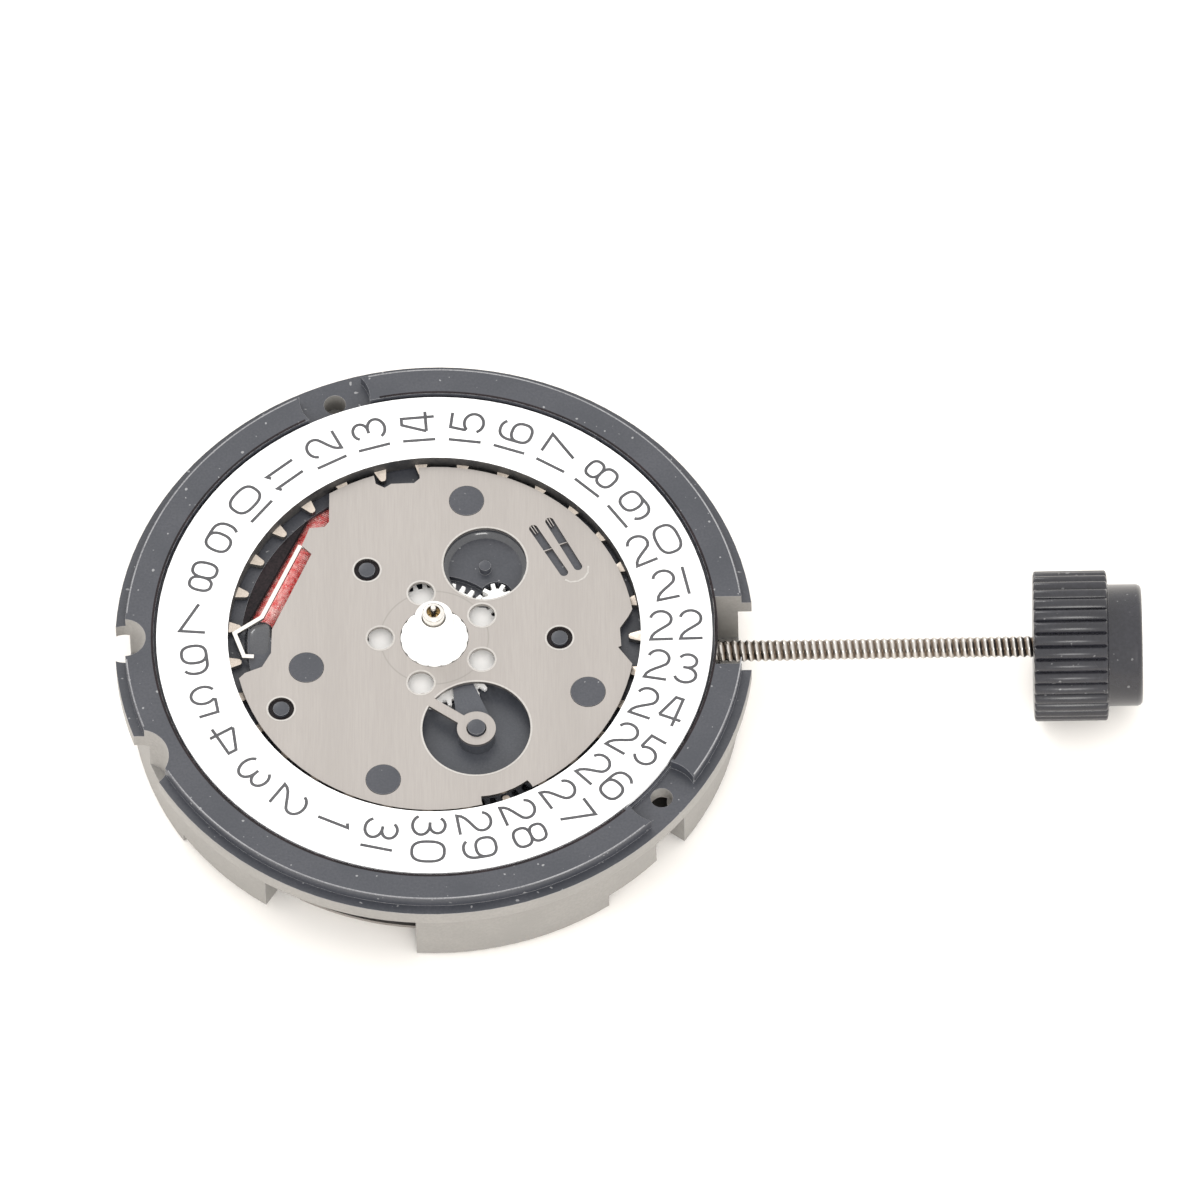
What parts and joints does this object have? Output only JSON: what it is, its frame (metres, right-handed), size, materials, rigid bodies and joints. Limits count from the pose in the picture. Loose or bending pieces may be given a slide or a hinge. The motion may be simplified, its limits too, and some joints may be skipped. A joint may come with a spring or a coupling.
{
  "type": "quartz watch movement",
  "caption": "Quartz watch movement with a white date ring, steel guard, stepping motor, hand pipes and a stem with a ribbed test crown.",
  "frame": {"origin": "on the hands' axis, in the plane that the dial sits on", "axes": "+X along the stem towards the crown, +Z along the hands' axis towards the dial"},
  "size_m": [0.0418, 0.026, 0.0068],
  "materials": {
    "dark_plastic": "moulded, fine satin",
    "guard_steel": "rolled sheet with a fine straight grain",
    "spring_steel": "bright spring steel",
    "ring_white": "printed white face",
    "white_plastic": "moulded white resin",
    "black_plastic": "moulded black resin",
    "turned_steel": "turned and polished",
    "brass": "stamped and cut",
    "soft_iron": "annealed magnetic sheet",
    "magnet": "sintered, dark",
    "enamelled_wire": "fine red enamelled copper wire, wound tight",
    "circuit_board": "thin printed board",
    "resin": "black potting resin",
    "crystal_can": "plated can",
    "cell_steel": "plated steel can",
    "crown_plastic": "dark moulded test crown"
  },
  "bodies": {
    "movement": {"main_plate": "dark_plastic", "date_dial_guard": "guard_steel", "date_jumper": "spring_steel", "stator": "soft_iron", "coil_core": "soft_iron", "coil_bobbin": "white_plastic", "coil_winding": "enamelled_wire", "coil_lead_board": "circuit_board", "coil_screws": "turned_steel", "train_bridge": "black_plastic", "bridge_screws": "turned_steel", "battery": "cell_steel", "battery_minus_contact": "spring_steel", "battery_plus_clamp": "spring_steel", "circuit_board": "circuit_board", "ic_module": "resin", "quartz_crystal": "crystal_can", "circuit_cover": "guard_steel", "cover_screws": "turned_steel"},
    "date_ring_body": {"date_ring": "ring_white"},
    "date_driving_wheel_body": {"date_driving_wheel": "black_plastic"},
    "date_corrector_body": {"date_corrector_wheel": "black_plastic"},
    "hour_wheel_body": {"hour_wheel": "white_plastic"},
    "minute_wheel_body": {"minute_wheel": "white_plastic"},
    "cannon_pinion_body": {"cannon_pinion": "turned_steel"},
    "setting_wheel_body": {"setting_wheel": "brass"},
    "centre_wheel_body": {"centre_wheel": "brass"},
    "second_wheel_body": {"second_wheel": "turned_steel"},
    "third_wheel_body": {"third_wheel": "white_plastic"},
    "fifth_wheel_body": {"fifth_wheel": "white_plastic"},
    "rotor_body": {"rotor": "turned_steel", "rotor_magnet": "magnet"},
    "clutch_body": {"clutch_wheel": "turned_steel"},
    "stem_body": {"winding_stem": "turned_steel", "test_crown": "crown_plastic"},
    "setting_lever_body": {"setting_lever": "spring_steel"},
    "yoke_body": {"yoke": "spring_steel"},
    "reset_lever_body": {"reset_lever": "spring_steel"}
  },
  "joints": [
    {"name": "date_ring_turn", "type": "hinge", "parent": "movement", "child": "date_ring_body", "pos_m": [0, 0, 0], "axis": [0, 0, 1], "continuous": true, "deforming": ["date_jumper"]},
    {"name": "date_corrector_turn", "type": "hinge", "parent": "movement", "child": "date_corrector_body", "pos_m": [0.00675, 0, 0], "axis": [0, 0, 1], "continuous": true},
    {"name": "cannon_pinion_turn", "type": "hinge", "parent": "movement", "child": "cannon_pinion_body", "pos_m": [0, 0, 0], "axis": [0, 0, 1], "continuous": true},
    {"name": "minute_wheel_turn", "type": "hinge", "parent": "movement", "child": "minute_wheel_body", "pos_m": [0.00252, 0.00223, 0], "axis": [0, 0, 1], "continuous": true},
    {"name": "hour_wheel_turn", "type": "hinge", "parent": "movement", "child": "hour_wheel_body", "pos_m": [0, 0, 0], "axis": [0, 0, 1], "continuous": true},
    {"name": "date_driving_wheel_turn", "type": "hinge", "parent": "movement", "child": "date_driving_wheel_body", "pos_m": [0.00168, -0.00432, 0], "axis": [0, 0, 1], "continuous": true},
    {"name": "setting_wheel_turn", "type": "hinge", "parent": "movement", "child": "setting_wheel_body", "pos_m": [0.00505, 0, 0], "axis": [0, 0, 1], "continuous": true},
    {"name": "second_wheel_turn", "type": "hinge", "parent": "movement", "child": "second_wheel_body", "pos_m": [0, 0, 0], "axis": [0, 0, 1], "continuous": true},
    {"name": "third_wheel_turn", "type": "hinge", "parent": "movement", "child": "third_wheel_body", "pos_m": [-0.00235, -0.00085, 0], "axis": [0, 0, 1], "continuous": true},
    {"name": "centre_wheel_turn", "type": "hinge", "parent": "movement", "child": "centre_wheel_body", "pos_m": [0, 0, 0], "axis": [0, 0, 1], "continuous": true},
    {"name": "fifth_wheel_turn", "type": "hinge", "parent": "movement", "child": "fifth_wheel_body", "pos_m": [-0.00087, 0.0024, 0], "axis": [0, 0, 1], "continuous": true},
    {"name": "rotor_turn", "type": "hinge", "parent": "movement", "child": "rotor_body", "pos_m": [-0.00281, 0.00352, 0], "axis": [0, 0, 1], "continuous": true},
    {"name": "stem_turn", "type": "hinge", "parent": "movement", "child": "clutch_body", "pos_m": [0.00645, 0, -0.00184], "axis": [1, 0, 0], "continuous": true},
    {"name": "stem_pull", "type": "slide", "parent": "clutch_body", "child": "stem_body", "axis": [1, 0, 0], "range_m": [0, 0.0009]},
    {"name": "setting_lever_turn", "type": "hinge", "parent": "movement", "child": "setting_lever_body", "pos_m": [0.00955, -0.0025, 0], "axis": [0, 0, 1], "range_deg": [-20.42, 0]},
    {"name": "yoke_turn", "type": "hinge", "parent": "movement", "child": "yoke_body", "pos_m": [0.0074, 0.0026, 0], "axis": [0, 0, 1], "range_deg": [-10.99, 0]},
    {"name": "reset_lever_turn", "type": "hinge", "parent": "movement", "child": "reset_lever_body", "pos_m": [0.0056, 0.0042, 0], "axis": [0, 0, 1], "range_deg": [0, 5.51]}
  ],
  "couplings": [
    {"joint": "third_wheel_turn", "follows": "second_wheel_turn", "ratio": -0.13333},
    {"joint": "centre_wheel_turn", "follows": "second_wheel_turn", "ratio": 0.016667},
    {"joint": "fifth_wheel_turn", "follows": "second_wheel_turn", "ratio": -5},
    {"joint": "rotor_turn", "follows": "second_wheel_turn", "ratio": 30},
    {"joint": "minute_wheel_turn", "follows": "cannon_pinion_turn", "ratio": -0.46875},
    {"joint": "hour_wheel_turn", "follows": "cannon_pinion_turn", "ratio": 0.083333},
    {"joint": "date_driving_wheel_turn", "follows": "cannon_pinion_turn", "ratio": -0.041667},
    {"joint": "setting_wheel_turn", "follows": "cannon_pinion_turn", "ratio": 1},
    {"joint": "setting_lever_turn", "follows": "stem_pull", "rad_per_m": -395.76},
    {"joint": "yoke_turn", "follows": "stem_pull", "rad_per_m": -213.02},
    {"joint": "reset_lever_turn", "follows": "stem_pull", "rad_per_m": 106.66}
  ]
}
